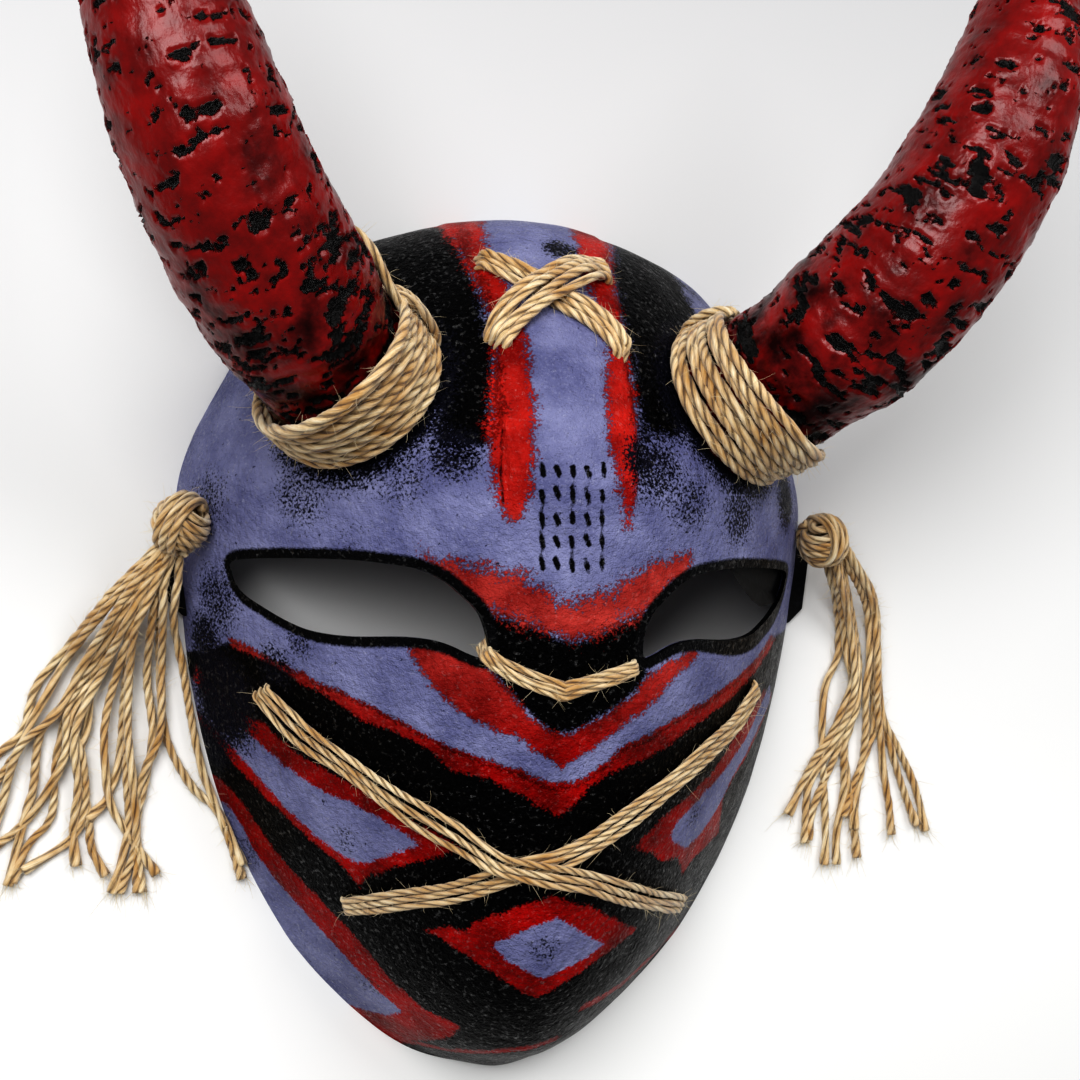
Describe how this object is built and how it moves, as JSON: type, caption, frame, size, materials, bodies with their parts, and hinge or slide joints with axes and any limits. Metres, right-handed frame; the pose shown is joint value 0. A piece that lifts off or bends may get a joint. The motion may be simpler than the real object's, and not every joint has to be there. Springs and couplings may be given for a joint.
{
  "type": "oni mask",
  "caption": "Hollow painted demon mask with thick curved horns, twine wound and laced over the face, and a tassel at each side; it lies on its flat rim.",
  "frame": {"origin": "below the middle of the whole mask, on the plane that its rim lies on", "axes": "+X to the viewer's right, +Y towards the crown and the horn tips, +Z out of the face"},
  "size_m": [0.3024, 0.3238, 0.125],
  "materials": {
    "painted_shell": "papier-mache under a gesso ground, brushed and stippled in lavender, black, purple and red, half matt",
    "red_lacquer": "light wood under thick glossy red lacquer with rough dark pits",
    "twine": "plied natural jute twine, matt and fuzzy"
  },
  "bodies": {
    "root": {"mask_shell": "painted_shell", "horn_left": "red_lacquer", "horn_right": "red_lacquer", "twine_horn_left": "twine", "twine_horn_right": "twine", "twine_mouth_under": "twine", "twine_mouth_over": "twine", "twine_forehead_under": "twine", "twine_forehead_over": "twine", "twine_nose": "twine", "tassel_left": "twine", "tassel_right": "twine"}
  },
  "joints": []
}
